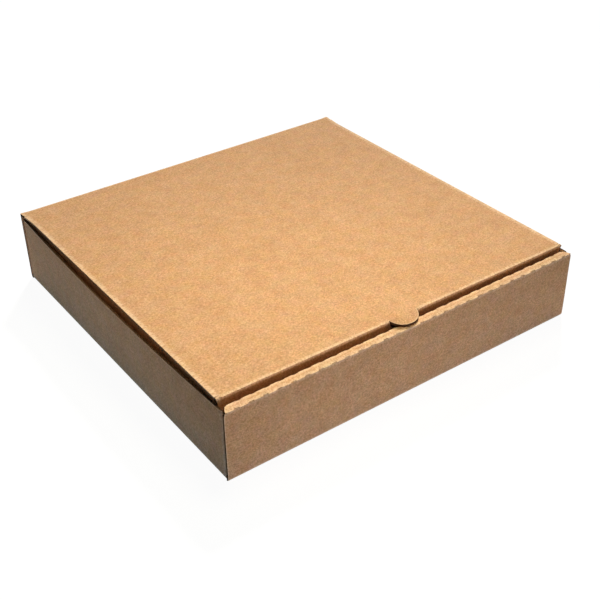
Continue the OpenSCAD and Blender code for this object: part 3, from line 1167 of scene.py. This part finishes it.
def flute_group():
    """Flutes that print faintly through the liners."""
    tree, given, made = shader_group(
        "Flutes through liner",
        [("Sheet", "NodeSocketVector"), ("Pitch", "NodeSocketFloat")],
        [("Height", "NodeSocketFloat")])
    wave = flute_wave(tree, given["Sheet"], given["Pitch"])
    patches = noise(tree, given["Sheet"], scale=40.0, detail=1.0, roughness=0.5)[0]
    link(tree, maths(tree, "MULTIPLY", wave, patches), made["Height"])
    return tree


def group_node(tree, group, **values):
    """Outputs of a node group placed in a material."""
    return add_node(tree, "ShaderNodeGroup", {"node_tree": group}, **values).outputs


def attribute(tree, name):
    """Outputs of one of the mesh's own attributes."""
    return add_node(tree, "ShaderNodeAttribute", {"attribute_name": name}).outputs


def mix_colour(tree, factor, first, second):
    """A colour between two."""
    node = add_node(tree, "ShaderNodeMix", {"data_type": "RGBA"}, in_0=factor)
    for key, value in zip(MIX_COLOURS, (first, second)):
        if isinstance(value, bpy.types.NodeSocket):
            link(tree, value, node.inputs[key])
        else:
            node.inputs[key].default_value = (*value, 1.0)
    return node.outputs[MIX_RESULT]


def new_material(name):
    """A material, its tree and its Principled BSDF."""
    material = bpy.data.materials.new(name)
    material.use_nodes = True
    tree = material.node_tree
    return material, tree, tree.nodes["Principled BSDF"]


def drifting(tree, value, size, middle):
    """A value from 0 to 1 made to range over a size about the middle."""
    return scaled(tree, value, size, middle - size / 2)


def kraft_liner(settings, fibres, flutes):
    """The smooth brown liners on both faces of the board."""
    finish = settings.finish
    material, tree, surface = new_material("kraft_liner")
    sheet, crease_and_highlight = attribute(tree, "sheet")["Vector"], attribute(tree, "crease_and_highlight")["Fac"]
    paper = group_node(tree, fibres, Sheet=sheet, Fibre_Scale=finish.liner_fibres)
    board = mix_colour(tree, paper["Tone"], finish.dark_kraft, finish.light_kraft)
    fleck = maths(tree, "MULTIPLY", paper["Fleck"], finish.fleck_strength)
    board = mix_colour(tree, fleck, board, finish.fleck)
    # Creases and cut edges turn pale: partly worn fibres, partly a painted highlight.
    worn_and_highlit = maths(tree, "MULTIPLY", crease_and_highlight, maths(tree, "ADD", paper["Tone"], finish.crease_and_highlight_base))
    board = mix_colour(tree, worn_and_highlit, board, finish.crease_and_highlight)
    clumps = add_node(tree, "ShaderNodeSeparateColor", Color=paper["Clumps"]).outputs
    board = add_node(
        tree, "ShaderNodeHueSaturation", Color=board,
        Hue=drifting(tree, clumps[0], finish.hue_drift, 0.5),
        Saturation=drifting(tree, clumps[1], finish.strength_drift, 1.0),
        Value=drifting(tree, clumps[2], finish.value_drift, 1.0)).outputs[0]
    link(tree, board, surface.inputs["Base Color"])
    rough = add_node(
        tree, "ShaderNodeMapRange", Value=paper["Tone"], To_Min=finish.least_rough,
        To_Max=finish.most_rough).outputs[0]
    link(tree, rough, surface.inputs["Roughness"])
    surface.inputs["Specular IOR Level"].default_value = 0.25
    ribs = group_node(tree, flutes, Sheet=sheet, Pitch=settings.board.flute_pitch)
    height = scaled(tree, ribs["Height"], finish.flute_print, paper["Height"])
    relief = add_node(tree, "ShaderNodeBump", Strength=0.16, Distance=0.00008, Height=height)
    link(tree, relief.outputs[0], surface.inputs["Normal"])
    return material


def raw_edge_and_shade(settings, fibres):
    """Cut edges, where the paper's fibres are open; their colour is darkened as painted shade of the
    open flutes.
    """
    finish = settings.finish
    material, tree, surface = new_material("raw_edge_and_shade")
    sheet = attribute(tree, "sheet")["Vector"]
    paper = group_node(tree, fibres, Sheet=sheet, Fibre_Scale=finish.edge_fibres)
    # Cut edges are darkened as painted shade of the open flutes, on top of their own tone.
    edge = mix_colour(tree, paper["Tone"], finish.fleck, finish.raw_edge_and_shade)
    link(tree, edge, surface.inputs["Base Color"])
    surface.inputs["Roughness"].default_value = 0.95
    surface.inputs["Specular IOR Level"].default_value = 0.1
    relief = add_node(tree, "ShaderNodeBump", Strength=0.6, Distance=0.0001, Height=paper["Height"])
    link(tree, relief.outputs[0], surface.inputs["Normal"])
    return material


def board_materials(settings):
    """The liner material and the raw edge material with its painted shade, made once."""
    liner, edge = bpy.data.materials.get("kraft_liner"), bpy.data.materials.get("raw_edge_and_shade")
    if liner is None:
        fibres, flutes = fibre_group(), flute_group()
        liner, edge = kraft_liner(settings, fibres, flutes), raw_edge_and_shade(settings, fibres)
    return [liner, edge]


def background_rays(tree):
    """1 for rays that show the background: to the camera, and through gloss or glass."""
    path = add_node(tree, "ShaderNodeLightPath").outputs
    seen = maths(tree, "MAXIMUM", path["Is Camera Ray"], path["Is Glossy Ray"])
    return maths(tree, "MAXIMUM", seen, path["Is Transmission Ray"])


def floor_material(stage):
    """Floor that is white to the camera but for the box's shadow; to the box, a pale floor in a
    painted pool of light with a painted blue glow.
    """
    material, tree, surface = new_material("floor")
    tree.nodes.remove(surface)
    shade = add_node(tree, "ShaderNodeBsdfDiffuse", Color=(*(stage.floor_shade,) * 3, 1.0))
    white = add_node(tree, "ShaderNodeEmission", Strength=stage.floor_white)
    clean = add_node(tree, "ShaderNodeAddShader", in_0=shade.outputs[0], in_1=white.outputs[0])

    # Painted pool of light round the box: the floor's bounce and its glow fade with distance from it.
    place = add_node(tree, "ShaderNodeTexCoord").outputs["Object"]
    away = add_node(
        tree, "ShaderNodeVectorMath", {"operation": "DISTANCE"}, in_0=place,
        in_1=stage.floor_centre).outputs["Value"]
    rise = maths(tree, "POWER", maths(tree, "DIVIDE", away, stage.floor_pool), stage.pool_falloff)
    pool = maths(tree, "EXPONENT", maths(tree, "MULTIPLY", rise, -1.0))
    tint = mix_colour(tree, pool, BLACK, stage.floor_bounce)
    diffuse = add_node(tree, "ShaderNodeBsdfDiffuse", Color=tint)
    # Painted light: the floor glows blue round the box, though it is no lamp.
    glow = add_node(tree, "ShaderNodeEmission", Color=(*stage.floor_glow, 1.0), Strength=pool)
    bounce = add_node(tree, "ShaderNodeAddShader", in_0=diffuse.outputs[0], in_1=glow.outputs[0])
    both = add_node(
        tree, "ShaderNodeMixShader", in_0=background_rays(tree), in_1=bounce.outputs[0],
        in_2=clean.outputs[0])
    link(tree, both.outputs[0], tree.nodes["Material Output"].inputs["Surface"])
    return material


# Stage

def add_floor(stage):
    """The floor that the box lies on."""
    half = stage.floor_size / 2
    mesh = bpy.data.meshes.new("floor")
    mesh.from_pydata(
        [(-half, -half, 0), (half, -half, 0), (half, half, 0), (-half, half, 0)], [], [(0, 1, 2, 3)])
    mesh.materials.append(floor_material(stage))
    floor = add_object("floor", mesh)
    floor.location.z = -stage.floor_drop


def add_light(name, kind, energy, tint):
    """A light that the camera doesn't see, and its object."""
    light = bpy.data.lights.new(name, kind)
    light.energy = energy
    light.color = tint
    holder = add_object(name, light)
    holder.visible_camera = False
    return light, holder


def add_lights(stage):
    """The key light from behind, a small lamp above the box and a card in front of it."""
    sun, key = add_light("key", "SUN", stage.key_strength, stage.key_colour)
    sun.angle = stage.key_spread
    key.rotation_euler = (-Vector(stage.key_towards)).to_track_quat("-Z", "Y").to_euler()
    area, lamp = add_light("lamp", "AREA", stage.lamp_power, stage.lamp_colour)
    area.size = stage.lamp_size
    lamp.location = stage.lamp_place
    panel, card = add_light("card", "AREA", stage.card_power, stage.card_colour)
    panel.shape = "RECTANGLE"
    panel.size = stage.card_width
    panel.size_y = stage.card_height
    card.location = stage.card_place
    card.rotation_euler.x = math.pi / 2


def add_world(scene, stage):
    """Dim light from all round, in front of a white background."""
    world = bpy.data.worlds.new("studio")
    world.use_nodes = True
    scene.world = world
    tree = world.node_tree
    sky = mix_colour(tree, background_rays(tree), stage.sky, WHITE)
    link(tree, sky, tree.nodes["Background"].inputs["Color"])


def add_camera(scene, stage):
    """The camera, as it stood for the photo."""
    back = Vector((
        math.sin(stage.azimuth) * math.cos(stage.elevation),
        -math.cos(stage.azimuth) * math.cos(stage.elevation),
        math.sin(stage.elevation)))
    right = Vector((0, 0, 1)).cross(back).normalized()
    turn = Matrix((right, back.cross(right), back)).transposed().to_4x4()
    lens = bpy.data.cameras.new("camera")
    lens.lens = stage.focal_length
    camera = add_object("camera", lens)
    spot = Matrix.Translation(Vector(stage.look_at) + back * stage.distance)
    camera.matrix_world = spot @ turn @ Matrix.Rotation(stage.roll, 4, "Z")
    scene.camera = camera


# Operators

def settled(piece, body, node=None):
    """Puts a finished piece on its body."""
    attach(piece, body)
    if node:
        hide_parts(node)
    return piece


def get_flute_tree():
    """The tree that makes the flutes, made once."""
    return bpy.data.node_groups.get("Flute paper") or flute_tree()


def add_board(settings, plan, body, node, sheet, place, creases_and_highlights):
    """A body's board, in place of its CAD node, and the flutes along its cut edges."""
    liner, edge = board_materials(settings)
    board = board_piece(body + "_board", plan, sheet, place, creases_and_highlights, [liner, edge])
    settled(board, body, node)
    flutes = flute_piece(body + "_flutes", plan, sheet, place, get_flute_tree(), edge)
    settled(flutes, body)


class PIZZABOX_OT_stage(bpy.types.Operator):
    """Sets up the floor, the lights and the camera"""

    bl_idname = "pizza_box.stage"
    bl_label = "Stage"

    def execute(self, context):
        scene, stage = context.scene, context.scene.pizza_box.stage
        scene.view_settings.view_transform = "Standard"
        add_floor(stage)
        add_lights(stage)
        add_world(scene, stage)
        add_camera(scene, stage)
        return {"FINISHED"}


class PIZZABOX_OT_tray(bpy.types.Operator):
    """Folds the tray and the flutes along its cut edges"""

    bl_idname = "pizza_box.tray"
    bl_label = "Tray"

    def execute(self, context):
        settings = context.scene.pizza_box
        plan = FoldPlan(settings)
        outline, slots = tray_outline(plan)
        lines = grid_lines(plan, outline, [-plan.side_x, plan.side_x], plan.tray_folds)
        tail = plan.back_y + plan.seam_z - plan.floor_z

        def joined(at):
            """Edges that meet the hinge strip, and those of the slots, which stay closed."""
            return (at[:, 1] > tail - TOLERANCE) | (clearance(at, slots) < TOLERANCE)

        sheet = Sheet(plan, outline, slots, lines, perforation_points(plan), joined)
        add_board(settings, plan, "tray", "base_tray", sheet, place_tray, tray_creases_and_highlights)
        return {"FINISHED"}


class PIZZABOX_OT_lid(bpy.types.Operator):
    """Folds the lid and the flutes along its cut edges"""

    bl_idname = "pizza_box.lid"
    bl_label = "Lid"

    def execute(self, context):
        settings = context.scene.pizza_box
        plan = FoldPlan(settings)
        outline, slits = lid_outline(plan)
        lines = grid_lines(plan, outline, [-plan.lid_x, plan.lid_x], [plan.lid_front_y])

        def joined(at):
            """Edges that meet the hinge strip."""
            return at[:, 1] > plan.seam_y - TOLERANCE

        sheet = Sheet(plan, outline, slits, lines, joined=joined)
        add_board(settings, plan, "lid", "lid", sheet, place_lid, lid_creases_and_highlights)
        return {"FINISHED"}


class PIZZABOX_OT_hinge(bpy.types.Operator):
    """Folds the strip of board that bends as the lid opens"""

    bl_idname = "pizza_box.hinge"
    bl_label = "Hinge fold"

    def execute(self, context):
        settings = context.scene.pizza_box
        plan = FoldPlan(settings)
        outline, holes = hinge_outline(plan)
        low, high = np.min(outline, 0), np.max(outline, 0)
        u_lines = np.linspace(low[0], high[0], round((high[0] - low[0]) / settings.board.panel_step))
        v_lines = spread(low[1], high[1], plan.reach, [plan.back_y], plan.reach)

        def joined(at):
            """Edges that meet the lid and the back wall."""
            return (at[:, 1] < low[1] + TOLERANCE) | (at[:, 1] > high[1] - TOLERANCE)

        sheet = Sheet(plan, outline, holes, (u_lines, v_lines), joined=joined)
        strip = board_piece(
            "hinge_fold", plan, sheet, place_hinge, hinge_creases_and_highlights, board_materials(settings))
        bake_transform(strip)
        return {"FINISHED"}


class PIZZABOX_PT_panel(bpy.types.Panel):
    """Lists the pieces of the pizza box and their settings"""

    bl_idname = "PIZZABOX_PT_panel"
    bl_label = "Pizza Box"
    bl_space_type = "VIEW_3D"
    bl_region_type = "UI"
    bl_category = "Pizza Box"

    def draw(self, context):
        for operator in OPERATORS:
            self.layout.operator(operator.bl_idname)
        settings = context.scene.pizza_box
        for name in ("board", "tray", "lid", "finish", "stage"):
            group = getattr(settings, name)
            column = self.layout.box().column()
            for key in group.bl_rna.properties.keys():
                if key not in {"rna_type", "name"}:
                    column.prop(group, key)


SETTINGS = (
    BoardSettings, TraySettings, LidSettings, FinishSettings, StageSettings, PizzaBoxSettings)
OPERATORS = (PIZZABOX_OT_stage, PIZZABOX_OT_tray, PIZZABOX_OT_lid, PIZZABOX_OT_hinge)
CLASSES = (*SETTINGS, *OPERATORS, PIZZABOX_PT_panel)


def register():
    """Adds the classes and the scene's settings."""
    for item in CLASSES:
        bpy.utils.register_class(item)
    bpy.types.Scene.pizza_box = PointerProperty(type=PizzaBoxSettings)


def unregister():
    """Takes them away again."""
    del bpy.types.Scene.pizza_box
    for item in reversed(CLASSES):
        bpy.utils.unregister_class(item)


def main():
    """Builds the stage and the box."""
    register()
    bpy.ops.pizza_box.stage()
    bpy.ops.pizza_box.tray()
    bpy.ops.pizza_box.lid()
    bpy.ops.pizza_box.hinge()


if __name__ == "__main__":
    main()
